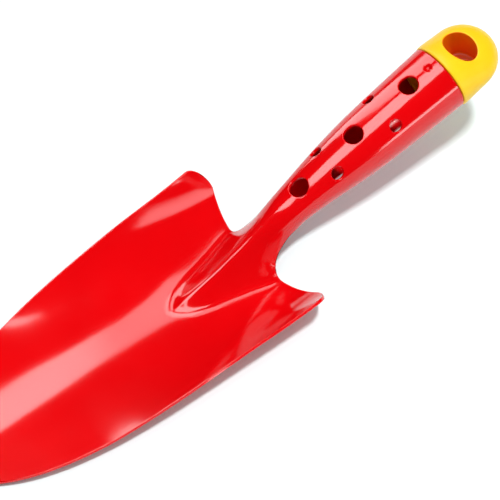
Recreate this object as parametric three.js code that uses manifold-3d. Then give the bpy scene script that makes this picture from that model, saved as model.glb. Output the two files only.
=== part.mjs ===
// Hand trowel: a wide dished blade and a perforated tube handle, pressed and rolled from one
// sheet of steel, with a moulded plastic cap plugged into the open end of the tube.
//
// Working frame, in millimetres: the origin is at the mouth of the tube, on the tube's axis.
// +X points away from the blade, towards the hanging end, +Y to the left and +Z up.
// A "station" is the distance from the mouth towards the blade's tip, so station = -x.
// The finished trowel is then tipped so that the blade lies level on its belly.
import * as THREE from "three";
import { mergeVertices } from "three/addons/utils/BufferGeometryUtils.js";
import Module from "manifold-3d";

const wasm = await Module();
wasm.setup();

// ---------------------------------------------------------------- driving dimensions

const SHEET = 1.5; // thickness of the steel
const FIT_GAP = 0.3; // clearance between the cap and the steel

// Handle. Each pair is [station, value].
const TUBE_RADIUS = [[0, 15.1], [21, 14.3], [43, 13.2], [65, 10.9], [74, 9.7], [84, 8.6],
  [95, 7.6], [107, 7.0]];
const CREST_HEIGHT = [[0, 15.1], [21, 14.3], [43, 13.2], [65, 10.9], [74, 9.4], [84, 7.3],
  [91, 6.0], [100, 3.4], [109, 1.0], [118, -0.8], [124, -1.9], [130, -2.6], [139, -3.0],
  [144, -3.35], [148, -4.3], [151, -5.6], [155, -8.2]];
const SEAM_GAP = 1.2; // open slot along the underside of the rolled tube
const SEAM_END = 72; // station where the slot starts to widen into the open neck
// Beyond the slot's end, the half-width is measured along the sheet from the crest.
const NECK_HALF_WIDTH = [[79, 23.6], [86, 17.7], [94, 14.6], [107, 16.6]];

const LARGE_HOLE = { radius: 4.2, stations: [16, 47.2, 78.4], angle: 0 };
const SMALL_HOLE = { radius: 2.7, stations: [31.4, 62.8], angle: THREE.MathUtils.degToRad(40) };
const DIMPLE = { station: 5, radius: 1.6, depth: 1.0 };

// Blade.
const BELLY_RISE = THREE.MathUtils.degToRad(13.2); // tube axis against the blade's belly line
const BELLY_START = { station: 104, height: -15.2 }; // inside of the dish, on the centre line
const HEEL = { drop: 1.0, length: 46 }; // the belly bows down under the ridge
const DISH_DEPTH = [[104, 19.1], [122, 17.2], [142, 15.9], [171, 13.0], [190, 11.2], [212, 9.0],
  [265, 8.0]];
const DISH_POWER = [[104, 4.0], [122, 3.3], [142, 2.6], [171, 2.1], [200, 2.0]]; // higher is flatter inside
const DISH_REACH = 42.5; // distance from the centre line where the dish has its full depth
const BLADE_HALF_WIDTH = 41.8;
const BLADE_TAPER = 0.03; // half-width lost per millimetre, before the nose curve
const TIP_STATION = 265;
const NOSE = { fullness: 4.2, sharpness: 0.56 };
const SHOULDER = { station: 106.2, radius: 6, leadIn: THREE.MathUtils.degToRad(17) };
const REAR_EDGE_STATION = 105.4; // pull of the curve between the shoulder and the notch
const NOTCH = { station: 107, length: 7, width: 7, split: THREE.MathUtils.degToRad(50) };

// Ridge that carries the tube's crest down into the blade. Its slopes are in degrees.
const RIDGE_SLOPE = [[90, 64], [104, 58], [110, 51], [120, 46], [130, 38], [139, 30], [150, 25]];
const RIDGE_CREST_RADIUS = [[90, 4], [104, 2.4], [120, 1.4], [130, 1.2], [139, 1.4], [150, 2]];
const RIDGE_BLEND = [[104, 2.6], [120, 2.4], [130, 1.9], [139, 1.4], [150, 1.1]]; // softness of the fillet at its foot
const TUBE_TO_RIDGE = { start: 82, end: 104 }; // stations where the round section opens out

// Cap. It starts round, flush with the tube, and flattens towards the hanging hole.
const CAP = { radius: 15.4, length: 28.1, edgeRadius: 0.8, spigotLength: 9, spigotWall: 2.4 };
const CAP_FLATTENING = { thickness: 0.72, start: 1, end: 16 }; // share of the round height
const HANGING_HOLE = { x: 12.8, length: 12.2, width: 16.4, wall: 3.2, exitRadius: 3.6 };

// Mesh fineness.
const HANDLE_CELLS = { along: 28, around: 20 };
const BLADE_CELLS = { along: 24, beside: 6, corner: 3 };
const CAP_CELLS = { around: 56, barrel: 6, dome: 14 };

// ---------------------------------------------------------------- curves and sections

/** Smooth curve through [position, value] pairs that never overshoots them. */
function curveThrough(pairs) {
  const steps = pairs.slice(1).map(([p, v], i) => ({ width: p - pairs[i][0], rise: v - pairs[i][1] }));
  const slopes = steps.map((step) => step.rise / step.width);
  const tangents = pairs.map((_, i) => {
    if (i === 0) return slopes[0];
    if (i === pairs.length - 1) return slopes[i - 1];
    if (slopes[i - 1] * slopes[i] <= 0) return 0;
    const before = 2 * steps[i].width + steps[i - 1].width;
    const after = steps[i].width + 2 * steps[i - 1].width;
    return (before + after) / (before / slopes[i - 1] + after / slopes[i]);
  });
  return (position) => {
    const last = pairs.length - 1;
    if (position <= pairs[0][0]) return pairs[0][1] + tangents[0] * (position - pairs[0][0]);
    if (position >= pairs[last][0]) return pairs[last][1] + tangents[last] * (position - pairs[last][0]);
    const i = pairs.findIndex(([p]) => p > position) - 1;
    const width = steps[i].width;
    const t = (position - pairs[i][0]) / width;
    return (1 + 2 * t) * (1 - t) ** 2 * pairs[i][1] + t * (1 - t) ** 2 * width * tangents[i]
      + t * t * (3 - 2 * t) * pairs[i + 1][1] + t * t * (t - 1) * width * tangents[i + 1];
  };
}

const tubeRadius = curveThrough(TUBE_RADIUS);
const crestHeight = curveThrough(CREST_HEIGHT);
const neckHalfWidth = curveThrough([
  [SEAM_END, Math.PI * tubeRadius(SEAM_END) - SEAM_GAP / 2], ...NECK_HALF_WIDTH]);
const dishDepth = curveThrough(DISH_DEPTH);
const dishPower = curveThrough(DISH_POWER);
const ridgeSlope = curveThrough(RIDGE_SLOPE);
const ridgeCrestRadius = curveThrough(RIDGE_CREST_RADIUS);
const ridgeBlend = curveThrough(RIDGE_BLEND);

/** Height of the blade's dish, without the ridge. */
function dishHeight(station, y) {
  const distance = station - BELLY_START.station;
  const heel = HEEL.drop * (1 - THREE.MathUtils.smoothstep(distance, 0, HEEL.length));
  const floor = BELLY_START.height + Math.tan(BELLY_RISE) * distance - heel;
  return floor + dishDepth(station) * (Math.abs(y) / DISH_REACH) ** dishPower(station);
}

/** Height of the ridge's roof: straight flanks that meet in a round crest. */
function roofHeight(station, y) {
  const slope = Math.tan(THREE.MathUtils.degToRad(ridgeSlope(station)));
  const roundness = ridgeCrestRadius(station) * slope;
  return crestHeight(station) - slope * (Math.hypot(y, roundness) - roundness);
}

/** Height of the pressed blade: the higher of roof and dish, with a fillet between them. */
function pressedHeight(station, y) {
  const roof = roofHeight(station, y);
  const dish = dishHeight(station, y);
  return (roof + dish + Math.hypot(roof - dish, ridgeBlend(station))) / 2;
}

/** Point of the pressed section at a distance along the sheet from the crest. */
function pressedPoint(station, along) {
  const step = 0.25;
  const distance = Math.abs(along);
  let travelled = 0;
  let y = 0;
  let z = pressedHeight(station, 0);
  while (travelled < distance) {
    const nextZ = pressedHeight(station, y + step);
    const length = Math.hypot(step, nextZ - z);
    const part = Math.min(1, (distance - travelled) / length);
    y += step * part;
    z += (nextZ - z) * part;
    travelled += length;
  }
  return { y: Math.sign(along) * y, z };
}

/** Point of the handle's outer surface: a tube that opens out into the ridge's section. */
function handlePoint(station, along) {
  const radius = tubeRadius(station);
  const angle = along / radius;
  const open = THREE.MathUtils.smoothstep(station, TUBE_TO_RIDGE.start, TUBE_TO_RIDGE.end);
  const pressed = open > 0 ? pressedPoint(station, along) : { y: 0, z: 0 };
  const y = THREE.MathUtils.lerp(radius * Math.sin(angle), pressed.y, open);
  const z = THREE.MathUtils.lerp(
    crestHeight(station) - radius + radius * Math.cos(angle), pressed.z, open);
  return new THREE.Vector3(-station, y, z);
}

/** Point of the blade's upper surface. */
function bladePoint(station, y) {
  return new THREE.Vector3(-station, y, pressedHeight(station, y));
}

/** Unit normal of a surface point, on the side that shows. */
function surfaceNormal(surface, station, across) {
  const h = 0.05;
  const acrossStep = surface(station, across + h).sub(surface(station, across - h));
  const alongStep = surface(station + h, across).sub(surface(station - h, across));
  return acrossStep.cross(alongStep).normalize();
}

// ---------------------------------------------------------------- outline of the sheet

/** Half of the handle's width, measured along the sheet, with the notch's round corner. */
function handleHalfWidth(station) {
  const plain = station < SEAM_END
    ? Math.PI * tubeRadius(station) - SEAM_GAP / 2 : neckHalfWidth(station);
  const into = THREE.MathUtils.clamp((station - NOTCH.station + NOTCH.length) / NOTCH.length, 0, 1);
  return plain + NOTCH.width * (1 - Math.sqrt(1 - into * into));
}

/** Half-width of the blade from its shoulder to its tip. */
function bladeHalfWidth(station) {
  const distance = station - SHOULDER.station;
  const t = THREE.MathUtils.clamp(distance / (TIP_STATION - SHOULDER.station), 0, 1);
  return (BLADE_HALF_WIDTH - BLADE_TAPER * distance) * (1 - t ** NOSE.fullness) ** NOSE.sharpness;
}

/** Points at equal distances along a path of Vector2. */
function evenly(path, cells) {
  const curve = new THREE.CurvePath();
  path.slice(1).forEach((point, i) => curve.add(new THREE.LineCurve(path[i], point)));
  return Array.from({ length: cells + 1 }, (_, i) => curve.getPointAt(i / cells));
}

const splitStation = NOTCH.station - NOTCH.length * (1 - Math.sin(NOTCH.split));
const splitHalfWidth = handleHalfWidth(splitStation);

/** Part of the blade's round shoulder corner, in (station, y). */
function shoulderArc(fromAngle, toAngle, cells) {
  const centreY = BLADE_HALF_WIDTH - SHOULDER.radius;
  return Array.from({ length: cells + 1 }, (_, i) => {
    const angle = THREE.MathUtils.lerp(fromAngle, toAngle, i / cells);
    return new THREE.Vector2(
      SHOULDER.station - SHOULDER.radius * Math.cos(angle), centreY + SHOULDER.radius * Math.sin(angle));
  });
}

/** Net points along the rear of one side of the blade, from the shoulder corner to the notch. */
function rearEdge() {
  const arc = shoulderArc(Math.PI / 4, -SHOULDER.leadIn, BLADE_CELLS.corner);
  const notch = Array.from({ length: 9 }, (_, i) => {
    const angle = THREE.MathUtils.lerp(Math.PI / 2, NOTCH.split, i / 8);
    const station = NOTCH.station - NOTCH.length * (1 - Math.sin(angle));
    const along = neckHalfWidth(station) + NOTCH.width * (1 - Math.cos(angle));
    return new THREE.Vector2(station, pressedPoint(station, along).y);
  });
  const from = arc[arc.length - 1];
  const bend = new THREE.Vector2(REAR_EDGE_STATION, THREE.MathUtils.lerp(notch[0].y, from.y, 0.5));
  const edge = new THREE.QuadraticBezierCurve(from, bend, notch[0]).getPoints(12);
  return [...arc, ...evenly([...edge, ...notch.slice(1)], BLADE_CELLS.beside).slice(1)];
}

/** Outline of one side of the blade, in (station, y), from the shoulder's end to the tip. */
function sideOutline() {
  const run = TIP_STATION - SHOULDER.station;
  return Array.from({ length: 121 }, (_, i) => {
    const station = SHOULDER.station + run * Math.sin((i / 120) * (Math.PI / 2));
    return new THREE.Vector2(station, bladeHalfWidth(station));
  });
}

// ---------------------------------------------------------------- pressed steel body

/** Net of surface points and quads, later thickened into a closed sheet. */
class SheetNet {
  points = [];
  normals = [];
  quads = [];

  add(surface, station, across) {
    this.points.push(surface(station, across));
    this.normals.push(surfaceNormal(surface, station, across));
    return this.points.length - 1;
  }

  /** Joins rows of point numbers with quads. */
  join(rows) {
    for (let r = 1; r < rows.length; r++)
      for (let c = 1; c < rows[r].length; c++)
        this.quads.push([rows[r - 1][c - 1], rows[r - 1][c], rows[r][c], rows[r][c - 1]]);
  }

  /** Closed geometry whose visible side is the net and whose back lies one thickness below. */
  thicken(thickness) {
    const back = this.points.map((p, i) => p.clone().addScaledVector(this.normals[i], -thickness));
    const count = this.points.length;
    const index = [];
    const open = new Map();
    for (const quad of this.quads) {
      const [a, b, c, d] = quad;
      index.push(a, b, c, a, c, d);
      index.push(...[a, c, b, a, d, c].map((n) => n + count));
      quad.forEach((from, i) => {
        const to = quad[(i + 1) % 4];
        if (!open.delete(`${to} ${from}`)) open.set(`${from} ${to}`, [from, to]);
      });
    }
    for (const [from, to] of open.values())
      index.push(from, from + count, to + count, from, to + count, to);
    const geometry = new THREE.BufferGeometry().setFromPoints([...this.points, ...back]);
    return geometry.setIndex(index);
  }
}

/** Rows of the blade: a net stretched between the rear edge, the two sides and the tip. */
function addBlade(net, neckYs) {
  const rear = rearEdge();
  const outline = sideOutline();
  const noseStart = outline.findIndex((point, i) =>
    i + 1 < outline.length && point.y - outline[i + 1].y > 0.9 * (outline[i + 1].x - point.x));
  const side = [
    ...shoulderArc(Math.PI / 4, Math.PI / 2, BLADE_CELLS.corner),
    ...evenly(outline.slice(0, noseStart + 1), BLADE_CELLS.along).slice(1)];
  const mirrored = (points) => points.map((p) => new THREE.Vector2(p.x, -p.y));
  const middle = neckYs.slice(1, -1).map((y) => new THREE.Vector2(splitStation, y));
  const start = [...mirrored(rear), ...middle, ...rear.slice().reverse()];
  const nose = outline.slice(noseStart);
  const end = evenly([...mirrored(nose), ...nose.slice(0, -1).reverse()], start.length - 1);
  const across = start.length - 1;
  const along = side.length - 1;
  return Array.from({ length: along + 1 }, (_, r) => {
    const q = r / along;
    return start.map((_, c) => {
      const p = c / across;
      const blend = (axis, sign) =>
        (1 - q) * start[c][axis] + q * end[c][axis]
        + (1 - p) * sign * side[r][axis] + p * side[r][axis]
        - (1 - p) * ((1 - q) * start[0][axis] + q * end[0][axis])
        - p * ((1 - q) * start[across][axis] + q * end[across][axis]);
      return net.add(bladePoint, blend("x", 1), blend("y", -1));
    });
  });
}

/** Rows of the neck and tube, from the blade's rear row to the mouth. */
function addHandle(net, firstRow) {
  const { along, around } = HANDLE_CELLS;
  const rows = [firstRow];
  for (let r = 1; r <= along; r++) {
    const station = splitStation * (1 - r / along);
    const halfWidth = handleHalfWidth(station);
    rows.push(Array.from({ length: around + 1 }, (_, c) =>
      net.add(handlePoint, station, halfWidth * (2 * c / around - 1))));
  }
  return rows;
}

function bodySheet() {
  const net = new SheetNet();
  const { around } = HANDLE_CELLS;
  const neckYs = Array.from({ length: around + 1 }, (_, c) =>
    pressedPoint(splitStation, splitHalfWidth * (2 * c / around - 1)).y);
  const bladeRows = addBlade(net, neckYs);
  const from = BLADE_CELLS.corner + BLADE_CELLS.beside;
  const handleRows = addHandle(net, bladeRows[0].slice(from, from + around + 1));
  net.join(bladeRows);
  net.join(handleRows.slice().reverse());
  return net.thicken(SHEET);
}

// ---------------------------------------------------------------- solids

/** Closed geometry as a manifold solid. */
function solidOf(geometry) {
  const bare = geometry.clone();
  bare.deleteAttribute("normal");
  bare.deleteAttribute("uv");
  const merged = mergeVertices(bare, 1e-4);
  return new wasm.Manifold(new wasm.Mesh({
    numProp: 3,
    vertProperties: new Float32Array(merged.attributes.position.array),
    triVerts: new Uint32Array(merged.index.array),
  }));
}

/** Manifold solid as a geometry with flat-shaded normals. */
function geometryOf(solid) {
  const mesh = solid.getMesh();
  const positions = new Float32Array(mesh.numVert * 3);
  for (let i = 0; i < mesh.numVert; i++)
    positions.set(mesh.vertProperties.subarray(i * mesh.numProp, i * mesh.numProp + 3), i * 3);
  const indexed = new THREE.BufferGeometry()
    .setAttribute("position", new THREE.BufferAttribute(positions, 3))
    .setIndex(new THREE.BufferAttribute(mesh.triVerts, 1));
  const geometry = indexed.toNonIndexed();
  geometry.computeVertexNormals();
  return geometry;
}

/** Punch that cuts one wall of the tube: a cylinder that stands square on the surface. */
function punch(station, angle, radius) {
  const reach = 12;
  const rod = new THREE.CylinderGeometry(radius, radius, reach, 32);
  const out = new THREE.Vector3(0, Math.sin(angle), Math.cos(angle));
  rod.applyQuaternion(new THREE.Quaternion().setFromUnitVectors(new THREE.Vector3(0, 1, 0), out));
  const centre = handlePoint(station, angle * tubeRadius(station));
  return solidOf(rod.translate(centre.x, centre.y, centre.z));
}

/** Shallow round lens about a vertical axis, sunk by depth below its flat top. */
function lens(radius, depth, top) {
  const profile = [new THREE.Vector2(0, -depth)];
  for (let i = 1; i <= 4; i++) {
    const angle = (i / 4) * (Math.PI / 2);
    profile.push(new THREE.Vector2(radius * Math.sin(angle), -depth * Math.cos(angle)));
  }
  profile.push(new THREE.Vector2(radius, top), new THREE.Vector2(0, top));
  return new THREE.LatheGeometry(profile, 16).rotateX(Math.PI / 2);
}

function buildBody() {
  let body = solidOf(bodySheet());
  for (const station of LARGE_HOLE.stations)
    body = body.subtract(punch(station, LARGE_HOLE.angle, LARGE_HOLE.radius));
  for (const station of SMALL_HOLE.stations)
    for (const side of [-1, 1])
      body = body.subtract(punch(station, side * SMALL_HOLE.angle, SMALL_HOLE.radius));
  const crest = handlePoint(DIMPLE.station, 0);
  const pressedIn = lens(DIMPLE.radius + 0.5, DIMPLE.depth, 0.4).translate(crest.x, 0, crest.z - SHEET);
  const dent = lens(DIMPLE.radius, DIMPLE.depth, 2).translate(crest.x, 0, crest.z);
  return body.add(solidOf(pressedIn)).subtract(solidOf(dent));
}

/** Outline of the cap in (radius, x): hollow spigot, shoulder, barrel and domed end. */
function capProfile() {
  const boreRadius = (x) => tubeRadius(-x) - SHEET - FIT_GAP;
  const { radius, length, edgeRadius, spigotLength, spigotWall } = CAP;
  const profile = [
    new THREE.Vector2(0, -1),
    new THREE.Vector2(boreRadius(-1) - spigotWall, -1),
    new THREE.Vector2(boreRadius(-spigotLength) - spigotWall, -spigotLength),
    new THREE.Vector2(boreRadius(-spigotLength) - 0.6, -spigotLength),
    new THREE.Vector2(boreRadius(-spigotLength), -spigotLength + 0.8),
    new THREE.Vector2(boreRadius(0), FIT_GAP),
  ];
  for (let i = 0; i <= 3; i++) {
    const angle = (i / 3) * (Math.PI / 2);
    profile.push(new THREE.Vector2(
      radius - edgeRadius * (1 - Math.sin(angle)), FIT_GAP + edgeRadius * (1 - Math.cos(angle))));
  }
  const barrelStart = FIT_GAP + edgeRadius;
  const domeStart = length - radius;
  for (let i = 1; i < CAP_CELLS.barrel; i++)
    profile.push(new THREE.Vector2(
      radius, THREE.MathUtils.lerp(barrelStart, domeStart, i / CAP_CELLS.barrel)));
  for (let i = 0; i <= CAP_CELLS.dome; i++) {
    const angle = (i / CAP_CELLS.dome) * (Math.PI / 2);
    profile.push(new THREE.Vector2(
      i === CAP_CELLS.dome ? 0 : radius * Math.cos(angle), domeStart + radius * Math.sin(angle)));
  }
  return profile;
}

/** Squeezes the cap's free end from round to oval. */
function flattenCap(geometry) {
  const { thickness, start, end } = CAP_FLATTENING;
  const position = geometry.attributes.position;
  for (let i = 0; i < position.count; i++) {
    const amount = THREE.MathUtils.smoothstep(position.getX(i), start, end);
    position.setZ(i, position.getZ(i) * THREE.MathUtils.lerp(1, thickness, amount));
  }
  return geometry;
}

/** Upright oval pin used to cut the hanging hole, from one height to another. */
function ovalPin(halfLength, halfWidth, bottom, top) {
  const outline = new THREE.Shape().absellipse(0, 0, halfLength, halfWidth, 0, 2 * Math.PI);
  return new THREE.ExtrudeGeometry(outline, {
    depth: top - bottom, bevelEnabled: false, curveSegments: 32,
  }).translate(HANGING_HOLE.x, 0, bottom);
}

function buildCap() {
  const turned = new THREE.LatheGeometry(capProfile(), CAP_CELLS.around).rotateZ(-Math.PI / 2);
  const { length, width, wall, exitRadius } = HANGING_HOLE;
  const underside = -CAP.radius * CAP_FLATTENING.thickness;
  const well = ovalPin(length / 2, width / 2, underside + wall, CAP.radius + 1);
  const exit = ovalPin(exitRadius, exitRadius, -CAP.radius, CAP.radius);
  const crest = handlePoint(DIMPLE.station, 0);
  const recess = lens(DIMPLE.radius + 0.5 + FIT_GAP, DIMPLE.depth + FIT_GAP, 3)
    .translate(crest.x, 0, crest.z - SHEET);
  return solidOf(flattenCap(turned)).subtract(solidOf(well)).subtract(solidOf(exit))
    .subtract(solidOf(recess));
}

// ---------------------------------------------------------------- assembly

const enamelRed = new THREE.MeshStandardMaterial({ color: 0xd9000d, roughness: 0.22, metalness: 0.0 });
const plasticYellow = new THREE.MeshStandardMaterial({ color: 0xffc400, roughness: 0.4, metalness: 0.0 });

const body = new THREE.Mesh(geometryOf(buildBody()), enamelRed);
body.name = "pressed_steel_body";

const cap = new THREE.Mesh(geometryOf(buildCap()), plasticYellow);
cap.name = "hanging_end_cap";

// Tipped back until the belly is level, then moved so that the middle of the box's underside
// is the origin.
const lying = new THREE.Group();
lying.add(body, cap);
lying.rotation.y = -BELLY_RISE;
const box = new THREE.Box3().setFromObject(lying, true);
lying.position.set(-(box.min.x + box.max.x) / 2, -(box.min.y + box.max.y) / 2, -box.min.z);

const trowel = new THREE.Group();
trowel.add(lying);

export default trowel;
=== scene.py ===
"""Hand trowel: a pressed steel body in red enamel and a yellow plastic hanging cap.

The working frame of the surfaces is the handle's, in millimetres: the origin is at the mouth of
the tube, +X towards the hanging end, +Y to the left, +Z up. A "station" is the distance from the
mouth towards the blade's tip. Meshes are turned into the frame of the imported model, in metres.
"""
import math

import bpy
import numpy as np
from mathutils import Matrix, Vector


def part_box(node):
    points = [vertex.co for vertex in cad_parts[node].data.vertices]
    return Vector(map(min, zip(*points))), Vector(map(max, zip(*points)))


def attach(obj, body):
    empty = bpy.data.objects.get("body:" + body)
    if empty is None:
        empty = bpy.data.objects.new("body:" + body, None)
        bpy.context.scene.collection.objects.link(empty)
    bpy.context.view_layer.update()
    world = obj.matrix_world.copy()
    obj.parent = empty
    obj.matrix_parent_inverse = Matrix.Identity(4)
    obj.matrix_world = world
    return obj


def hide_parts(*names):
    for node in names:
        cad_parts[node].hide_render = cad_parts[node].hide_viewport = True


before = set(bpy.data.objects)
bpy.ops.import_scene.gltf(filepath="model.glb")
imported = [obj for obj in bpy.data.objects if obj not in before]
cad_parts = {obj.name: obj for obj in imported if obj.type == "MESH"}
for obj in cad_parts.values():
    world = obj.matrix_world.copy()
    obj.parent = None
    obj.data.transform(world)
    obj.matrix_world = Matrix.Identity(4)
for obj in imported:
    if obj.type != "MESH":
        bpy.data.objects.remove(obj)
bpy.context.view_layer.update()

MM = 0.001

# ------------------------------------------------------------------ dimensions, as in the CAD

SHEET = 1.5
FIT_GAP = 0.3

TUBE_RADIUS = [(0, 15.1), (21, 14.3), (43, 13.2), (65, 10.9), (74, 9.7), (84, 8.6), (95, 7.6), (107, 7.0)]
CREST_HEIGHT = [(0, 15.1), (21, 14.3), (43, 13.2), (65, 10.9), (74, 9.4), (84, 7.3), (91, 6.0),
                (100, 3.4), (109, 1.0), (118, -0.8), (124, -1.9), (130, -2.6), (139, -3.0),
                (144, -3.35), (148, -4.3), (151, -5.6), (155, -8.2)]
SEAM_GAP = 1.2
SEAM_END = 72.0
NECK_HALF_WIDTH = [(79, 23.6), (86, 17.7), (94, 14.6), (107, 16.6)]

LARGE_HOLE_STATIONS = (16.0, 47.2, 78.4)
LARGE_HOLE_RADIUS = 4.2
SMALL_HOLES = [(31.4, -40.0), (31.4, 40.0), (62.8, -40.0), (62.8, 40.0)]  # station, degrees from the crest
SMALL_HOLE_RADIUS = 2.7
DIMPLE_STATION, DIMPLE_RADIUS, DIMPLE_DEPTH = 5.0, 2.2, 1.1

BELLY_RISE = math.radians(13.2)
BELLY_START = (104.0, -15.2)
HEEL_DROP, HEEL_LENGTH = 1.0, 46.0
DISH_DEPTH = [(104, 19.1), (122, 17.2), (142, 15.9), (171, 13.0), (190, 11.2), (212, 9.0), (265, 8.0)]
DISH_POWER = [(104, 4.0), (122, 3.3), (142, 2.6), (171, 2.1), (200, 2.0)]
DISH_REACH = 42.5
BLADE_HALF_WIDTH, BLADE_TAPER = 41.8, 0.03
TIP_STATION = 265.0
NOSE_FULLNESS, NOSE_SHARPNESS = 4.2, 0.56
SHOULDER_STATION, SHOULDER_RADIUS, SHOULDER_LEAD_IN = 106.2, 6.0, math.radians(17)
REAR_EDGE_STATION = 105.4
NOTCH_STATION, NOTCH_LENGTH, NOTCH_WIDTH, NOTCH_SPLIT = 107.0, 7.0, 7.0, math.radians(50)

RIDGE_SLOPE = [(90, 64), (104, 58), (110, 51), (120, 46), (130, 38), (139, 30), (150, 25)]
RIDGE_CREST_RADIUS = [(90, 4), (104, 2.4), (120, 1.4), (130, 1.2), (139, 1.4), (150, 2)]
RIDGE_BLEND = [(104, 2.6), (120, 2.4), (130, 1.9), (139, 1.4), (150, 1.1)]
TUBE_TO_RIDGE = (82.0, 104.0)

CAP_RADIUS, CAP_LENGTH, CAP_EDGE = 15.4, 28.04, 0.8
CAP_THICKNESS, FLATTEN_START, FLATTEN_END = 0.72, 1.0, 16.0
PLUG_LENGTH, PLUG_WALL = 9.0, 2.4
HANG_X, HANG_LENGTH, HANG_WIDTH = 12.8, 12.2, 16.4
WELL_WALL = 3.2
WELL_FLOOR = -CAP_RADIUS * CAP_THICKNESS + WELL_WALL
EXIT_RADIUS = 3.6
DOME_X = CAP_LENGTH - CAP_RADIUS
CAP_START = FIT_GAP + CAP_EDGE

# Finish of the edges, which the CAD leaves sharp.
SHEET_ROUND = 0.5
HANG_ROUND = 1.0
WELL_FOOT_ROUND = 1.2
EXIT_ROUND = 0.6

# ------------------------------------------------------------------ curves and sections


def curve_through(pairs):
    """Smooth curve through (position, value) pairs that never overshoots them."""
    p, v = np.array(pairs, float).T
    width = np.diff(p)
    slope = np.diff(v) / width
    before = 2 * width[1:] + width[:-1]
    after = width[1:] + 2 * width[:-1]
    level = slope[:-1] * slope[1:] <= 0
    safe = np.where(slope == 0, 1.0, slope)
    inner = (before + after) / (before / safe[:-1] + after / safe[1:])
    tangent = np.concatenate([slope[:1], np.where(level, 0.0, inner), slope[-1:]])

    def value(x):
        x = np.asarray(x, float)
        i = np.clip(np.searchsorted(p, x, side="right") - 1, 0, len(width) - 1)
        t = (x - p[i]) / width[i]
        inside = ((1 + 2 * t) * (1 - t) ** 2 * v[i] + t * (1 - t) ** 2 * width[i] * tangent[i]
                  + t * t * (3 - 2 * t) * v[i + 1] + t * t * (t - 1) * width[i] * tangent[i + 1])
        below = v[0] + tangent[0] * (x - p[0])
        above = v[-1] + tangent[-1] * (x - p[-1])
        return np.where(x <= p[0], below, np.where(x >= p[-1], above, inside))

    return value


tube_radius = curve_through(TUBE_RADIUS)
crest_height = curve_through(CREST_HEIGHT)
neck_half_width = curve_through(
    [(SEAM_END, math.pi * float(tube_radius(SEAM_END)) - SEAM_GAP / 2)] + NECK_HALF_WIDTH)
dish_depth = curve_through(DISH_DEPTH)
dish_power = curve_through(DISH_POWER)
ridge_slope = curve_through(RIDGE_SLOPE)
ridge_crest_radius = curve_through(RIDGE_CREST_RADIUS)
ridge_blend = curve_through(RIDGE_BLEND)


def smoothstep(x, low, high):
    """0 below low, 1 above high, and a smooth rise between."""
    t = np.clip((x - low) / (high - low), 0, 1)
    return t * t * (3 - 2 * t)


def dish_height(station, y):
    """Height of the plain dished blade."""
    distance = station - BELLY_START[0]
    heel = HEEL_DROP * (1 - smoothstep(distance, 0, HEEL_LENGTH))
    floor = BELLY_START[1] + math.tan(BELLY_RISE) * distance - heel
    return floor + dish_depth(station) * (np.abs(y) / DISH_REACH) ** dish_power(station)


def roof_height(station, y):
    """Height of the ridge alone: two flanks that meet in a rounded crest."""
    slope = np.tan(np.radians(ridge_slope(station)))
    roundness = ridge_crest_radius(station) * slope
    return crest_height(station) - slope * (np.hypot(y, roundness) - roundness)


def pressed_height(station, y):
    """Height of the sheet: the ridge and the dish, joined by a fillet."""
    roof = roof_height(station, y)
    dish = dish_height(station, y)
    return (roof + dish + np.hypot(roof - dish, ridge_blend(station))) / 2


SECTION_REACH, SECTION_STEPS = 36, 721


def pressed_point(station, along):
    """(y, z) of the pressed section at distances along the sheet from the crest."""
    station, along = np.broadcast_arrays(np.asarray(station, float), np.asarray(along, float))
    y = np.linspace(0, SECTION_REACH, SECTION_STEPS)
    z = pressed_height(station[:, None], y[None, :])
    steps = np.hypot(np.diff(y), np.diff(z, axis=1))
    length = np.concatenate([np.zeros((len(station), 1)), np.cumsum(steps, axis=1)], axis=1)
    across = np.array([np.interp(abs(s), row, y) for s, row in zip(along, length)])
    return np.sign(along) * across, pressed_height(station, across)


def handle_point(station, along):
    """Point of the rolled tube, which opens into the pressed section over the neck."""
    radius = tube_radius(station)
    angle = along / radius
    opened = smoothstep(station, *TUBE_TO_RIDGE)
    y = radius * np.sin(angle)
    z = crest_height(station) - radius + radius * np.cos(angle)
    some = opened > 0
    if some.any():
        pressed_y, pressed_z = pressed_point(station[some], along[some])
        y[some] += (pressed_y - y[some]) * opened[some]
        z[some] += (pressed_z - z[some]) * opened[some]
    return np.stack([-station, y, z], -1)


def blade_point(station, y):
    """Point of the blade."""
    return np.stack([-station, y, pressed_height(station, y)], -1)


# From the handle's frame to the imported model's: the trowel lies level on its belly, and the
# body's CAD box gives where its tip and its underside are.
LYING = np.array([
    [math.cos(BELLY_RISE), 0.0, -math.sin(BELLY_RISE)],
    [0.0, 1.0, 0.0],
    [math.sin(BELLY_RISE), 0.0, math.cos(BELLY_RISE)],
])
body_low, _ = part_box("pressed_steel_body")
tip = LYING @ blade_point(TIP_STATION, 0.0)
MOUTH = np.array([body_low.x / MM - tip[0], 0.0, body_low.z / MM - tip[2] + SHEET])


def to_frame(points):
    """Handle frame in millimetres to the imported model's frame in metres."""
    return (np.asarray(points) @ LYING.T + MOUTH) * MM


def unit(v):
    """Vectors scaled to length 1."""
    return v / np.maximum(np.linalg.norm(v, axis=-1, keepdims=True), 1e-12)


def surface_normal(surface, station, across, h):
    """Normal of the visible side, from points h away on either side."""
    over = surface(station, across + h) - surface(station, across - h)
    down = surface(station + h, across) - surface(station - h, across)
    return unit(np.cross(over, down))


# ------------------------------------------------------------------ outline of the sheet


def handle_half_width(station):
    """Half of the sheet's flat width over the tube and the neck, with the notch's rounding."""
    station = np.asarray(station, float)
    plain = np.where(station < SEAM_END, math.pi * tube_radius(station) - SEAM_GAP / 2,
                     neck_half_width(station))
    into = np.clip((station - NOTCH_STATION + NOTCH_LENGTH) / NOTCH_LENGTH, 0, 1)
    return plain + NOTCH_WIDTH * (1 - np.sqrt(1 - into * into))


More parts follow.
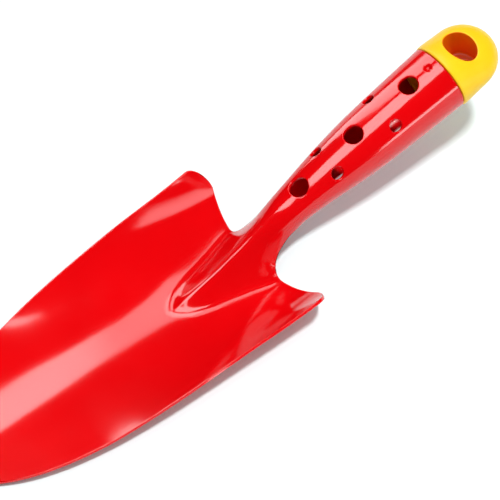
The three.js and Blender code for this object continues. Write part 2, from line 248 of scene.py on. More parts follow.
def blade_half_width(station):
    """Half of the blade's width, from the shoulders to the tip."""
    distance = station - SHOULDER_STATION
    t = np.clip(distance / (TIP_STATION - SHOULDER_STATION), 0, 1)
    return (BLADE_HALF_WIDTH - BLADE_TAPER * distance) * (1 - t ** NOSE_FULLNESS) ** NOSE_SHARPNESS


def evenly(path, cells):
    """Points at equal distances along a polyline."""
    path = np.asarray(path, float)
    length = np.concatenate([[0], np.cumsum(np.linalg.norm(np.diff(path, axis=0), axis=1))])
    at = np.linspace(0, length[-1], cells + 1)
    return np.stack([np.interp(at, length, path[:, k]) for k in range(2)], -1)


# The handle's grid and the blade's meet here, part of the way round the notch.
SPLIT_STATION = NOTCH_STATION - NOTCH_LENGTH * (1 - math.sin(NOTCH_SPLIT))
CORNER_CELLS, BESIDE_CELLS, AROUND_CELLS, LENGTH_CELLS, HANDLE_CELLS = 8, 26, 96, 120, 116
CORNER_SPLIT = math.pi / 4


def shoulder_arc(start, end, cells):
    """Part of the round rear corner, as (station, y)."""
    angle = np.linspace(start, end, cells + 1)
    return np.stack([SHOULDER_STATION - SHOULDER_RADIUS * np.cos(angle),
                     BLADE_HALF_WIDTH - SHOULDER_RADIUS + SHOULDER_RADIUS * np.sin(angle)], -1)


def rear_edge():
    """(station, y) along the rear of one side of the blade, from the shoulder to the notch."""
    arc = shoulder_arc(CORNER_SPLIT, -SHOULDER_LEAD_IN, CORNER_CELLS)
    angle = np.linspace(math.pi / 2, NOTCH_SPLIT, 33)
    station = NOTCH_STATION - NOTCH_LENGTH * (1 - np.sin(angle))
    along = neck_half_width(station) + NOTCH_WIDTH * (1 - np.cos(angle))
    notch = np.stack([station, pressed_point(station, along)[0]], -1)
    t = np.linspace(0, 1, 41)[:, None]
    bend = np.array([REAR_EDGE_STATION, (notch[0, 1] + arc[-1, 1]) / 2])
    edge = (1 - t) ** 2 * arc[-1] + 2 * t * (1 - t) * bend + t ** 2 * notch[0]
    return np.concatenate([arc, evenly(np.concatenate([edge, notch[1:]]), BESIDE_CELLS)[1:]])


def side_edge():
    """(station, y) of one side of the blade and of the nose, which starts where the outline turns in."""
    run = TIP_STATION - SHOULDER_STATION
    station = SHOULDER_STATION + run * np.sin(np.linspace(0, math.pi / 2, 1201))
    outline = np.stack([station, blade_half_width(station)], -1)
    step = np.diff(outline, axis=0)
    nose = int(np.argmax(-step[:, 1] > 0.9 * step[:, 0]))
    side = np.concatenate([shoulder_arc(CORNER_SPLIT, math.pi / 2, CORNER_CELLS),
                           evenly(outline[:nose + 1], LENGTH_CELLS)[1:]])
    return side, outline[nose:]


# ------------------------------------------------------------------ meshes with chosen normals


def make_object(name, points, normals, faces, material):
    """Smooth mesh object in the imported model's frame, from handle-frame points and normals."""
    mesh = bpy.data.meshes.new(name)
    mesh.from_pydata([tuple(p) for p in to_frame(points)], [], [tuple(map(int, f)) for f in faces])
    mesh.polygons.foreach_set("use_smooth", [True] * len(mesh.polygons))
    mesh.update()
    turned = unit(np.asarray(normals)) @ LYING.T
    mesh.normals_split_custom_set_from_vertices([tuple(n) for n in turned])
    obj = bpy.data.objects.new(name, mesh)
    bpy.context.scene.collection.objects.link(obj)
    obj.data.materials.append(material)
    return obj


def loop_strip(faces, a, b):
    """Joins two closed rings of vertices by a strip of quads."""
    for k in range(len(a)):
        n = (k + 1) % len(a)
        faces.append((a[k], a[n], b[n], b[k]))


def ring_block(net, grid, rows, columns, centre, radii, closed, place):
    """Replaces a rectangle of a grid by rings of cells round a circle.

    place turns (centre, angle, radius) into surface coordinates. Returns the cells taken out and
    the innermost ring."""
    (r0, r1), (c0, c1) = rows, columns
    border = ([(r0, c) for c in range(c0, c1)] + [(r, c1) for r in range(r0, r1)]
              + [(r1, c) for c in range(c1, c0, -1)] + [(r, c0) for r in range(r1, r0, -1)])
    outer = [grid[r][c] for r, c in border]
    flat = np.array([net.flat(i) for i in outer])
    angle = np.arctan2(flat[:, 1] - centre[1], flat[:, 0] - centre[0])
    circle = place(centre, angle, radii[0])
    rings = [outer]
    for share in (0.3, 0.6, 0.83, 1.0):
        rings.append(net.add(flat + (circle - flat) * share))
    for radius in radii[1:]:
        rings.append(net.add(place(centre, angle, radius)))
    for a, b in zip(rings, rings[1:]):
        loop_strip(net.faces, a, b)
    last = rings[-1]
    if closed:
        middle = net.add(np.array([centre]))[0]
        for k in range(len(last)):
            net.faces.append((last[k], last[(k + 1) % len(last)], middle))
    return {(r, c) for r in range(r0, r1) for c in range(c0, c1)}, last


class Net:
    """Surface coordinates and faces of one sheet. On the body, kind 0 is the blade and kind 1 the
    handle, and handle_coords gives the row that they share in the handle's coordinates."""

    def __init__(self):
        self.kind, self.coords, self.faces = [], [], []
        self.adding = 0
        self.handle_coords = {}

    def add(self, coords):
        """Adds points and returns their numbers."""
        first = len(self.coords)
        self.coords.extend(np.asarray(coords, float).tolist())
        self.kind.extend([self.adding] * (len(self.coords) - first))
        return list(range(first, len(self.coords)))

    def flat(self, i):
        return self.handle_coords.get(i, self.coords[i])

    def join(self, grid, skipped=()):
        """Adds the quads of a grid of vertices, but for the cells that were taken out."""
        for r in range(1, len(grid)):
            for c in range(1, len(grid[r])):
                if (r - 1, c - 1) not in skipped:
                    self.faces.append((grid[r - 1][c - 1], grid[r - 1][c], grid[r][c], grid[r][c - 1]))


def circle_on_tube(centre, angle, radius):
    """Edge of a hole punched straight through the tube wall, as (station, along)."""
    tube = float(tube_radius(centre[0]))
    return np.stack([centre[0] + radius * np.cos(angle),
                     centre[1] + tube * np.arcsin(np.clip(radius * np.sin(angle) / tube, -1, 1))], -1)


DIMPLE_RINGS = [2.4, 2.2, 2.0, 1.75, 1.5, 1.25, 1.0, 0.75, 0.5, 0.25]


def body_net():
    """The whole sheet: a blade patch between four borders, and a handle grid with its holes."""
    net = Net()
    side, nose = side_edge()
    rear = rear_edge()
    mirror = np.array([1.0, -1.0])
    half = float(handle_half_width(SPLIT_STATION))
    across_neck = half * np.linspace(-1, 1, AROUND_CELLS + 1)
    neck_y, _ = pressed_point(np.full(AROUND_CELLS + 1, SPLIT_STATION), across_neck)
    middle = np.stack([np.full(AROUND_CELLS - 1, SPLIT_STATION), neck_y[1:-1]], -1)
    start = np.concatenate([rear * mirror, middle, rear[::-1]])
    end = evenly(np.concatenate([nose * mirror, nose[-2::-1]]), len(start) - 1)
    p = np.linspace(0, 1, len(start))[None, :, None]
    q = np.linspace(0, 1, len(side))[:, None, None]
    right, left = (side * mirror)[:, None], side[:, None]
    patch = ((1 - q) * start + q * end + (1 - p) * right + p * left
             - (1 - p) * ((1 - q) * start[0] + q * end[0]) - p * ((1 - q) * start[-1] + q * end[-1]))
    blade = [net.add(row) for row in patch]
    net.join(blade)

    net.adding = 1
    first = blade[0][len(rear) - 1:len(rear) + AROUND_CELLS]
    net.handle_coords = {i: (SPLIT_STATION, a) for i, a in zip(first, across_neck)}
    stations = SPLIT_STATION * (1 - np.arange(HANDLE_CELLS + 1) / HANDLE_CELLS)
    grid = [first]
    for station in stations[1:]:
        spread = float(handle_half_width(station)) * np.linspace(-1, 1, AROUND_CELLS + 1)
        grid.append(net.add(np.stack([np.full(AROUND_CELLS + 1, station), spread], -1)))
    grid = grid[::-1]
    stations = stations[::-1]
    skipped = set()

    def block(station, along, radii, margin, closed=False):
        """Makes room for a hole or a dimple in the handle's grid."""
        reach = radii[0] + margin
        rows = (max(int(np.searchsorted(stations, station - reach)) - 1, 1),
                int(np.searchsorted(stations, station + reach)))
        step = 2 * float(handle_half_width(station)) / AROUND_CELLS
        columns = (int(math.floor((along - reach) / step)) + AROUND_CELLS // 2,
                   int(math.ceil((along + reach) / step)) + AROUND_CELLS // 2)
        taken, _ = ring_block(net, grid, rows, columns, (station, along), radii, closed, circle_on_tube)
        skipped.update(taken)

    for station in LARGE_HOLE_STATIONS:
        block(station, 0.0, [LARGE_HOLE_RADIUS + SHEET_ROUND], 1.2)
    for station, degrees in SMALL_HOLES:
        block(station, math.radians(degrees) * float(tube_radius(station)),
              [SMALL_HOLE_RADIUS + SHEET_ROUND], 1.0)
    block(DIMPLE_STATION, 0.0, DIMPLE_RINGS, 0.6, closed=True)
    net.join(grid, skipped)
    return net


def lift(net):
    """Points and normals of the sheet's visible side, in the handle frame."""
    kind = np.array(net.kind)
    coords = np.array(net.coords)
    points = np.zeros((len(kind), 3))
    normals = np.zeros((len(kind), 3))
    for which, surface, h in ((0, blade_point, 0.02), (1, handle_point, 0.15)):
        some = kind == which
        station, across = coords[some].T
        points[some] = surface(station, across)
        normals[some] = surface_normal(surface, station, across, h)
    return points, normals


def press_dimple(points, normals):
    """Sinks the small punched dimple near the tube's mouth."""
    crest = handle_point(np.array([DIMPLE_STATION]), np.array([0.0]))[0]
    away = points[:, :2] - crest[:2]
    r = np.linalg.norm(away, axis=1)
    near = (r < DIMPLE_RADIUS) & (points[:, 2] > 0)
    t = np.clip(r / DIMPLE_RADIUS, 0, 1)
    depth = DIMPLE_DEPTH * (1 - t ** 2) ** 2
    slope = DIMPLE_DEPTH * 4 * t * (1 - t ** 2) / DIMPLE_RADIUS
    points[near] -= normals[near] * depth[near, None]
    out = np.concatenate([away / np.maximum(r, 1e-9)[:, None], np.zeros((len(r), 1))], axis=1)
    normals[near] = unit(normals[near] - out[near] * slope[near, None])


def boundary_loops(faces):
    """Directed edges that belong to one face only, as next-vertex links."""
    directed = {}
    for face in faces:
        for k, a in enumerate(face):
            directed[(a, face[(k + 1) % len(face)])] = True
    return {a: b for a, b in directed if (b, a) not in directed}


EDGE_STEPS = 3  # in each of the two quarter rounds of a cut edge


def thickened(points, normals, faces, thickness, rounding, inset):
    """Closed sheet: the net, its back one thickness below, and rounded edges round every opening.

    inset is 1 for a border vertex that is first drawn in, so that the rounding ends on the
    outline, and 0 for the others."""
    follow = boundary_loops(faces)
    before = {b: a for a, b in follow.items()}
    rim = np.array(sorted(follow))
    forward = points[[follow[i] for i in rim]] - points[rim]
    backward = points[rim] - points[[before[i] for i in rim]]
    out = unit(unit(np.cross(forward, normals[rim])) + unit(np.cross(backward, normals[rim])))
    out = unit(out - normals[rim] * np.sum(out * normals[rim], axis=1, keepdims=True))
    points = points.copy()
    points[rim] -= out * (rounding * inset[rim])[:, None]

    count = len(points)
    all_points = [points, points - normals * thickness]
    all_normals = [normals, -normals]
    profile = []
    for k in range(1, EDGE_STEPS + 1):
        angle = k / EDGE_STEPS * math.pi / 2
        profile.append((rounding * math.sin(angle), rounding * (1 - math.cos(angle)), angle))
    profile += [(o, thickness - d, math.pi - a) for o, d, a in reversed(profile)]
    where = {int(v): k for k, v in enumerate(rim)}
    rings = [[int(v) for v in rim]]
    base = 2 * count
    for outward, depth, angle in profile:
        all_points.append(points[rim] + out * outward - normals[rim] * depth)
        all_normals.append(normals[rim] * math.cos(angle) + out * math.sin(angle))
        rings.append(list(range(base, base + len(rim))))
        base += len(rim)
    rings.append([int(v) + count for v in rim])
    new_faces = [tuple(f) for f in faces] + [tuple(i + count for i in reversed(f)) for f in faces]
    for a, b in zip(rings, rings[1:]):
        for v, k in where.items():
            n = where[follow[v]]
            new_faces.append((a[n], a[k], b[k], b[n]))
    return np.concatenate(all_points), np.concatenate(all_normals), new_faces


def compacted(points, normals, faces):
    """Drops the vertices that no face uses."""
    used = np.unique(np.concatenate([np.asarray(f) for f in faces]))
    renumber = np.full(len(points), -1)
    renumber[used] = np.arange(len(used))
    return points[used], normals[used], [tuple(renumber[list(f)]) for f in faces]


def build_body(material):
    """The steel body. Only its outline, the longest border, is drawn in before the rounding."""
    net = body_net()
    points, normals = lift(net)
    press_dimple(points, normals)
    points, normals, faces = compacted(points, normals, net.faces)
    ends = boundary_loops(faces)
    loops, left = [], set(ends)
    while left:
        loop = [left.pop()]
        while ends[loop[-1]] in left:
            loop.append(ends[loop[-1]])
            left.discard(loop[-1])
        loops.append(loop)
    inset = np.zeros(len(points))
    inset[max(loops, key=len)] = 1.0
    points, normals, faces = thickened(points, normals, faces, SHEET, SHEET_ROUND, inset)
    return make_object("steel_body", points, normals, faces, material)


# ------------------------------------------------------------------ cap


# The cap's skin has surface coordinates (run, around): the distance along its profile from where
# the barrel leaves its rounded edge, and the angle times the radius.
BARREL = DOME_X - CAP_START
DOME_RUN = CAP_RADIUS * math.pi / 2
ROUND_CAP = 2 * math.pi * CAP_RADIUS
CAP_ROWS, CAP_COLUMNS, HANG_COLUMNS = 52, 144, 17
POLE_GAP = 0.6
HANG_BEYOND, HANG_BEFORE = 10.0, 9.4  # reach of the hanging hole's block along the run


def bore_radius(x):
    """Radius of the plug, which follows the inside of the tube."""
    return float(tube_radius(-x)) - SHEET - FIT_GAP


def cap_surface(run, around):
    """Point and normal of the cap's outer skin, before it is flattened."""
    alpha = np.clip((run - BARREL) / CAP_RADIUS, 0, math.pi / 2)
    x = np.where(run < BARREL, CAP_START + run, DOME_X + CAP_RADIUS * np.sin(alpha))
    r = CAP_RADIUS * np.cos(alpha)
    angle = around / CAP_RADIUS
    point = np.stack([x, r * np.sin(angle), r * np.cos(angle)], -1)
    normal = np.stack([np.sin(alpha), np.cos(alpha) * np.sin(angle), np.cos(alpha) * np.cos(angle)], -1)
    return point, normal


def half_axes(upper):
    """Half-axes of the hanging hole on the upper skin, and of its exit on the lower one."""
    return (HANG_LENGTH / 2, HANG_WIDTH / 2) if upper else (EXIT_RADIUS, EXIT_RADIUS)


def hang_outline(centre, angle, grow):
    """Outline of the hanging hole on the cap's skin, grown by a margin, as (run, around)."""
    upper = centre[1] == 0
    half_x, half_y = half_axes(upper)
    x = HANG_X + (half_x + grow) * np.cos(angle)
    y = (half_y + grow) * np.sin(angle)
    alpha = np.arcsin(np.clip((x - DOME_X) / CAP_RADIUS, 0, 1))
    run = np.where(x < DOME_X, x - CAP_START, BARREL + CAP_RADIUS * alpha)
    swing = np.arcsin(np.clip(y / (CAP_RADIUS * np.cos(alpha)), -1, 1)) * CAP_RADIUS
    return np.stack([run, centre[1] + swing * (1 if upper else -1)], -1)


def flatness(x):
    """Share of the round height that the cap keeps at a distance from the tube, and its slope."""
    t = np.clip((np.asarray(x) - FLATTEN_START) / (FLATTEN_END - FLATTEN_START), 0, 1)
    drop = 1 - CAP_THICKNESS
    return 1 - drop * t * t * (3 - 2 * t), -drop * 6 * t * (1 - t) / (FLATTEN_END - FLATTEN_START)


def flattened(points, normals):
    """Squeezes the round cap to its oval free end."""
    share, change = flatness(points[:, 0])
    turned = normals.copy()
    turned[:, 0] -= change * points[:, 2] / share * normals[:, 2]
    turned[:, 2] /= share
    points[:, 2] *= share
    return points, unit(turned)


def build_cap(material):
    """The yellow cap with its hanging hole and its hollow plug."""
    net = Net()
    runs = np.linspace(BARREL + DOME_RUN - POLE_GAP, 0, CAP_ROWS + 1)
    around = np.linspace(-ROUND_CAP / 4, 3 * ROUND_CAP / 4, CAP_COLUMNS + 1)[:-1]
    grid = [net.add(np.stack([np.full(CAP_COLUMNS, run), around], -1)) for run in runs]
    wide = [row + row[:1] for row in grid]
    skipped = set()
    loops = []
    centre_run = float(hang_outline((0, 0.0), np.array([math.pi / 2]), 0)[0, 0])
    for middle in (0.0, ROUND_CAP / 2):
        rows = (int(np.argmin(abs(runs - centre_run - HANG_BEYOND))),
                int(np.argmin(abs(runs - centre_run + HANG_BEFORE))))
        column = int(round((middle + ROUND_CAP / 4) / ROUND_CAP * CAP_COLUMNS))
        columns = (column - HANG_COLUMNS, column + HANG_COLUMNS)
        taken, loop = ring_block(net, wide, rows, columns, (centre_run, middle), [HANG_ROUND], False,
                                 hang_outline)
        skipped |= taken
        loops.append(loop)
    net.join(wide, skipped)
    coords = np.array(net.coords)
    points, normals = cap_surface(coords[:, 0], coords[:, 1])
    points, normals, faces = list(points), list(normals), list(net.faces)

    def ring(ring_points, ring_normals):
        first = len(points)
        points.extend(ring_points)
        normals.extend(ring_normals)
        return list(range(first, len(points)))

    def strip(a, b):
        loop_strip(faces, a, b)
        return b

    # Dome's end.
    pole = ring([np.array([CAP_LENGTH, 0, 0])], [np.array([1.0, 0, 0])])[0]
    last = grid[0]
    for k in range(CAP_COLUMNS):
        faces.append((last[(k + 1) % CAP_COLUMNS], last[k], pole))

    def rounded_mouth(loop, upper):
        """Rounds the skin over into the hole. Returns the wall's first ring and its angles."""
        half_x, half_y = half_axes(upper)
        here = np.array([points[i] for i in loop])
        angle = np.arctan2(here[:, 1] / (half_y + HANG_ROUND), (here[:, 0] - HANG_X) / (half_x + HANG_ROUND))
        wall_x, wall_y = HANG_X + half_x * np.cos(angle), half_y * np.sin(angle)
        inward = -unit(np.stack([np.cos(angle) / half_x, np.sin(angle) / half_y, 0 * angle], -1))
        alpha = np.arcsin(np.clip((wall_x - DOME_X) / CAP_RADIUS, 0, 1))
        side = 1 if upper else -1
        corner_z = side * np.sqrt((CAP_RADIUS * np.cos(alpha)) ** 2 - wall_y ** 2)
        corner = np.stack([wall_x, wall_y, corner_z], -1)
        down = corner - np.array([0, 0, side * HANG_ROUND])
        skin_normal = np.array([normals[i] for i in loop])
        previous = loop
        for t in (0.2, 0.4, 0.6, 0.8, 1.0):
            where = (1 - t) ** 2 * here + 2 * t * (1 - t) * corner + t ** 2 * down
            previous = strip(previous, ring(where, unit((1 - t) * skin_normal + t * inward)))
        return previous, angle

    # Hanging hole: an oval well with a rounded foot, and a round hole through its floor.
    upper_wall, angle = rounded_mouth(loops[0], True)
    lower_wall, lower_angle = rounded_mouth(loops[1], False)
    cosine, sine = np.cos(angle), np.sin(angle)
    up = np.array([0, 0, 1.0])

    def level_ring(half_x, half_y, height, outward, upward):
        """Ring at one height of the finished cap. Its normal leans outward and upward."""
        x, y = HANG_X + half_x * cosine, half_y * sine
        out = unit(np.stack([cosine / half_x, sine / half_y, 0 * angle], -1))
        return ring(np.stack([x, y, height / flatness(x)[0]], -1), unit(outward * out + upward * up))

    half_x, half_y = half_axes(True)
    previous = upper_wall
    for height in np.linspace(6.0, WELL_FLOOR + WELL_FOOT_ROUND, 9):
        previous = strip(previous, level_ring(half_x, half_y, height, -1, 0))
    for a in np.radians((22.5, 45, 67.5, 90)):
        drawn_in = WELL_FOOT_ROUND * (1 - math.cos(a))
        height = WELL_FLOOR + WELL_FOOT_ROUND * (1 - math.sin(a))
        previous = strip(previous, level_ring(half_x - drawn_in, half_y - drawn_in, height,
                                              -math.cos(a), math.sin(a)))
    for a in np.radians((90, 60, 30, 0)):
        radius = EXIT_RADIUS + EXIT_ROUND * (1 - math.cos(a))
        height = WELL_FLOOR - EXIT_ROUND * (1 - math.sin(a))
        previous = strip(previous, level_ring(radius, radius, height, -math.cos(a), math.sin(a)))
    order = [int(np.argmin(np.abs(np.angle(np.exp(1j * (lower_angle - a)))))) for a in angle]
    strip(previous, [lower_wall[k] for k in order])

    # Rounded edge beside the tube, face, plug and the plug's hollow, as (x, r, normal x, normal r).
    circle = around / CAP_RADIUS
    turn = np.stack([0 * circle, np.sin(circle), np.cos(circle)], -1)
    axis = np.array([1.0, 0, 0])
    end_bore = bore_radius(-PLUG_LENGTH)
    profile = [(FIT_GAP + CAP_EDGE * (1 - math.cos(a)), CAP_RADIUS - CAP_EDGE * (1 - math.sin(a)),
                -math.cos(a), math.sin(a)) for a in np.radians((70, 45, 20, 0))]
    profile += [(FIT_GAP, bore_radius(0) + 0.4, -1, 0), (FIT_GAP, bore_radius(0), -1, 1)]
    profile += [(x, bore_radius(x), 0, 1) for x in np.linspace(-0.6, -PLUG_LENGTH + 0.8, 18)]
    profile += [(-PLUG_LENGTH + 0.25, end_bore - 0.25, -1, 1), (-PLUG_LENGTH, end_bore - 0.8, -1, 0),
                (-PLUG_LENGTH, end_bore - PLUG_WALL + 0.4, -1, 0),
                (-PLUG_LENGTH + 0.4, end_bore - PLUG_WALL, -1, -1)]
    profile += [(x, bore_radius(x) - PLUG_WALL, 0, -1) for x in np.linspace(-PLUG_LENGTH + 2, -2.2, 8)]
    profile += [(-1.35, bore_radius(-1) - PLUG_WALL - 0.35, -1, -1),
                (-1.0, bore_radius(-1) - PLUG_WALL - 1.2, -1, 0), (-1.0, 4.0, -1, 0)]
    previous = grid[-1]
    for x, r, nx, nr in profile:
        previous = strip(previous, ring(x * axis + r * turn, unit(nx * axis + nr * turn)))
    centre = ring([np.array([-1.0, 0, 0])], [-axis])[0]
    for k in range(CAP_COLUMNS):
        faces.append((previous[k], previous[(k + 1) % CAP_COLUMNS], centre))

    # Recess in the plug for the dimple.
    points, normals = np.array(points), np.array(normals)
    recess = (points[:, 0] < -0.5) & (points[:, 2] > bore_radius(-5) - 1.0)
    away = np.hypot(points[:, 0] + DIMPLE_STATION, points[:, 1])
    sink = (DIMPLE_DEPTH + 0.1) * np.clip(1 - (away / 3.6) ** 2, 0, 1) ** 2
    points[recess, 2] -= sink[recess]
    points, normals = flattened(points, normals)
    points, normals, faces = compacted(points, normals, faces)
    return make_object("hanging_cap", points, normals, faces, material)


# ------------------------------------------------------------------ materials


def new_material(name):
    """A material with its nodes, its links and its main shader."""
    material = bpy.data.materials.new(name)
    material.use_nodes = True
    nodes, links = material.node_tree.nodes, material.node_tree.links
    shader = nodes["Principled BSDF"]
    return material, nodes, links, shader


def noise(nodes, links, source, scale, detail, roughness=0.5):
    """Noise of a given scale per metre."""
    node = nodes.new("ShaderNodeTexNoise")
    node.inputs["Scale"].default_value = scale
    node.inputs["Detail"].default_value = detail
    node.inputs["Roughness"].default_value = roughness
    links.new(source, node.inputs["Vector"])
    return node.outputs["Fac"]


def ramp(nodes, links, source, stops):
    """Colour from a factor, through (position, colour) stops."""
    node = nodes.new("ShaderNodeValToRGB")
    while len(node.color_ramp.elements) < len(stops):
        node.color_ramp.elements.new(0.5)
    for element, (position, colour) in zip(node.color_ramp.elements, stops):
        element.position = position
        element.color = (*colour, 1.0)
    links.new(source, node.inputs["Fac"])
    return node.outputs["Color"]


def span(nodes, links, source, low, high):
    """Spreads the middle of a noise over a range of values."""
    node = nodes.new("ShaderNodeMapRange")
    node.inputs["From Min"].default_value = 0.3
    node.inputs["From Max"].default_value = 0.7
    node.inputs["To Min"].default_value = low
    node.inputs["To Max"].default_value = high
    links.new(source, node.inputs["Value"])
    return node.outputs["Result"]


def bumps(nodes, links, shader, layers):
    """Chains bump nodes: layers are (height socket, strength, distance in metres)."""
    previous = None
    for height, strength, distance in layers:
        node = nodes.new("ShaderNodeBump")
        node.inputs["Strength"].default_value = strength
        node.inputs["Distance"].default_value = distance
        links.new(height, node.inputs["Height"])
        if previous is not None:
            links.new(previous, node.inputs["Normal"])
        previous = node.outputs["Normal"]
    links.new(previous, shader.inputs["Normal"])


def red_enamel():
    """Stove enamel: saturated red, glossy, with faint orange peel and a slightly uneven film."""
    material, nodes, links, shader = new_material("red_enamel")
    place = nodes.new("ShaderNodeTexCoord").outputs["Object"]
    film = noise(nodes, links, place, 22.0, 3.0)
    colour = ramp(nodes, links, film, [(0.35, (0.66, 0.0003, 0.0018)), (0.65, (0.72, 0.0005, 0.0024))])
    links.new(colour, shader.inputs["Base Color"])
    smear = noise(nodes, links, place, 60.0, 4.0, 0.6)
    links.new(span(nodes, links, smear, 0.085, 0.11), shader.inputs["Roughness"])
    shader.inputs["Specular IOR Level"].default_value = 0.5
    peel = noise(nodes, links, place, 420.0, 2.0)
    wave = noise(nodes, links, place, 90.0, 1.0)
    bumps(nodes, links, shader, [(wave, 0.25, 0.00008), (peel, 0.18, 0.00002)])
    return material


def step_between(nodes, links, value, off, on):
    """0 at off, 1 at on, with a smooth step between."""
    node = nodes.new("ShaderNodeMapRange")
    node.interpolation_type = "SMOOTHSTEP"
    node.inputs["From Min"].default_value = off
    node.inputs["From Max"].default_value = on
    links.new(value, node.inputs["Value"])
    return node.outputs["Result"]


def well_shade_mask(nodes, links, place):
    """1 on the walls and the floor of the hanging hole's well, 0 outside it: where the well's painted shade
    goes.
    """
    local = nodes.new("ShaderNodeMapping")
    local.vector_type = "TEXTURE"
    local.inputs["Location"].default_value = to_frame(np.array([HANG_X, 0.0, 0.0]))
    local.inputs["Rotation"].default_value = (0.0, -math.atan2(LYING[2][0], LYING[0][0]), 0.0)
    local.inputs["Scale"].default_value = (HANG_LENGTH / 2 * MM, HANG_WIDTH / 2 * MM, MM)
    links.new(place, local.inputs["Vector"])
    across = nodes.new("ShaderNodeVectorMath")
    across.operation = "MULTIPLY"
    across.inputs[1].default_value = (1.0, 1.0, 0.0)
    links.new(local.outputs["Vector"], across.inputs[0])
    radius = nodes.new("ShaderNodeVectorMath")
    radius.operation = "LENGTH"
    links.new(across.outputs["Vector"], radius.inputs[0])
    split = nodes.new("ShaderNodeSeparateXYZ")
    links.new(local.outputs["Vector"], split.inputs["Vector"])
    both = nodes.new("ShaderNodeMath")
    both.operation = "MULTIPLY"
    links.new(step_between(nodes, links, radius.outputs["Value"], 1.06, 1.01), both.inputs[0])
    links.new(step_between(nodes, links, split.outputs["Z"], WELL_FLOOR - 2.2, WELL_FLOOR - 1.2),
              both.inputs[1])
    return both.outputs["Value"]


# Painted shade: a darker orange-brown for the walls and floor of the hanging hole's well, in place of the
# shade inside it.
WELL_PAINTED_SHADE = (0.88, 0.20, 0.0, 1.0)


def yellow_plastic():
    """Moulded plastic with a fine satin grain, a little light in its depth, and painted shade in the hanging
    hole's well.
    """
    material, nodes, links, shader = new_material("yellow_plastic")
    place = nodes.new("ShaderNodeTexCoord").outputs["Object"]
    cloud = noise(nodes, links, place, 70.0, 3.0)
    colour = ramp(nodes, links, cloud, [(0.35, (0.93, 0.54, 0.0)), (0.65, (0.96, 0.58, 0.001))])
    # Painted shade: the well's walls and floor are mixed over to the darker well colour.
    well_shade = nodes.new("ShaderNodeMix")
    well_shade.data_type = "RGBA"
    well_shade.inputs["B"].default_value = WELL_PAINTED_SHADE
    links.new(colour, well_shade.inputs["A"])
    links.new(well_shade_mask(nodes, links, place), well_shade.inputs["Factor"])
    links.new(well_shade.outputs["Result"], shader.inputs["Base Color"])
    grain = noise(nodes, links, place, 2600.0, 2.0)
    shader.inputs["Specular IOR Level"].default_value = 0.3
    shader.inputs["Subsurface Weight"].default_value = 0.05
    shader.inputs["Subsurface Radius"].default_value = (1.0, 0.5, 0.05)
    shader.inputs["Subsurface Scale"].default_value = 0.002
    links.new(span(nodes, links, cloud, 0.36, 0.42), shader.inputs["Roughness"])
    bumps(nodes, links, shader, [(grain, 0.25, 0.00003)])
    return material


# ------------------------------------------------------------------ the trowel

body = build_body(red_enamel())
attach(body, "root")
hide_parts("pressed_steel_body")

cap = build_cap(yellow_plastic())
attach(cap, "root")
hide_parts("hanging_end_cap")

# ------------------------------------------------------------------ camera, floor and light

# The camera's right, up and backward directions in the handle frame, and the handle's mouth as
# seen from it: millimetres right, up and away.
CAMERA_AXES = np.array([
    [0.7490, -0.6438, -0.1565],
    [0.6403, 0.6427, 0.4207],
    [-0.1703, -0.4154, 0.8936],
])
MOUTH_SEEN = np.array([80.12, 72.83, -1076.0])
LENS, SENSOR = 183.5, 36.0

camera = bpy.data.objects.new("camera", bpy.data.cameras.new("camera"))
bpy.context.scene.collection.objects.link(camera)
place = to_frame(-CAMERA_AXES.T @ MOUTH_SEEN)
turn = Matrix((LYING @ CAMERA_AXES.T).tolist()).normalized()
camera.matrix_world = Matrix.Translation(Vector(place)) @ turn.to_4x4()
camera.data.lens = LENS
camera.data.sensor_width = SENSOR
camera.data.clip_start, camera.data.clip_end = 0.1, 20.0
bpy.context.scene.camera = camera

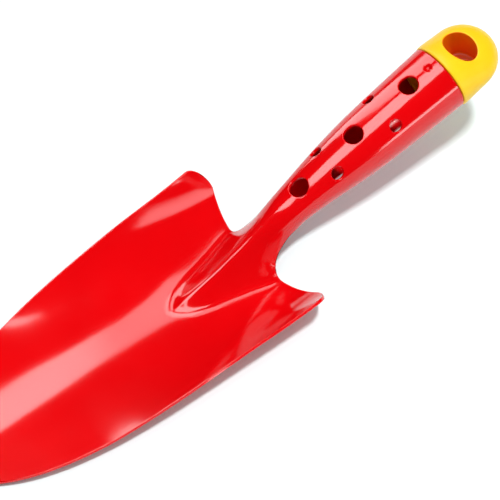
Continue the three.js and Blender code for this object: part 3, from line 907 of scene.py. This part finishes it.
FLOOR_REACH = 4.0
floor_mesh = bpy.data.meshes.new("floor")
corners = [(x * FLOOR_REACH, y * FLOOR_REACH, 0) for x, y in ((-1, -1), (1, -1), (1, 1), (-1, 1))]
floor_mesh.from_pydata(corners, [], [(0, 1, 2, 3)])
floor = bpy.data.objects.new("floor", floor_mesh)
bpy.context.scene.collection.objects.link(floor)
paper, _, _, paper_shader = new_material("white_floor")
paper_shader.inputs["Base Color"].default_value = (0.80, 0.91, 0.92, 1.0)
paper_shader.inputs["Roughness"].default_value = 1.0
paper_shader.inputs["Specular IOR Level"].default_value = 0.0
floor.data.materials.append(paper)


LIGHT_DISTANCE = 3.0


def softbox(name, aim, direction, size, radiance, spin=0.0, mirrored=True):
    """Area light that faces a point. direction points from the point to the light.

    A mirrored light is only seen in the gloss, and the other kind only lights the diffuse colour."""
    data = bpy.data.lights.new(name, "AREA")
    data.shape = "RECTANGLE"
    data.size, data.size_y = size
    data.energy = math.pi * size[0] * size[1] * radiance
    light = bpy.data.objects.new(name, data)
    bpy.context.scene.collection.objects.link(light)
    out = Vector(direction).normalized()
    side = Vector((math.cos(spin), math.sin(spin), 0.0))
    side = (side - out * side.dot(out)).normalized()
    turn = Matrix((side, out.cross(side), out)).transposed()
    light.matrix_world = Matrix.Translation(Vector(aim) + out * LIGHT_DISTANCE) @ turn.to_4x4()
    light.visible_diffuse = not mirrored
    light.visible_glossy = mirrored


softbox("key", (0, 0, 0), (0.085, -0.17, 0.98), (0.32, 0.32), 210.0, mirrored=False)
softbox("overhead", (0.05, 0, 0.04), (-0.20, -0.02, 0.98), (1.80, 1.85), 8.0, math.radians(19))
softbox("far_side", (0, 0, 0.01), (0.095, 0.82, 0.56), (0.57, 3.3), 6.0)
softbox("far_high", (-0.03, 0, 0.01), (0.225, 0.327, 0.92), (0.46, 0.80), 8.0)
softbox("far_corner", (-0.02, 0, 0.01), (0.35, 0.335, 0.875), (0.30, 0.82), 4.5)
softbox("near_side", (0, 0.03, 0.01), (0.42, -0.75, 0.51), (0.24, 0.95), 4.0)
softbox("low_side", (0.09, 0, 0.03), (0.25, -0.96, 0.09), (0.9, 0.45), 8.0)

# An even white surround, which the gloss doesn't see.
world = bpy.data.worlds.new("studio")
world.use_nodes = True
surround = world.node_tree.nodes["Background"]
surround.inputs["Color"].default_value = (1, 1, 1, 1)
surround.inputs["Strength"].default_value = 0.6
world.cycles_visibility.glossy = False
bpy.context.scene.world = world
bpy.context.scene.view_settings.view_transform = "Standard"
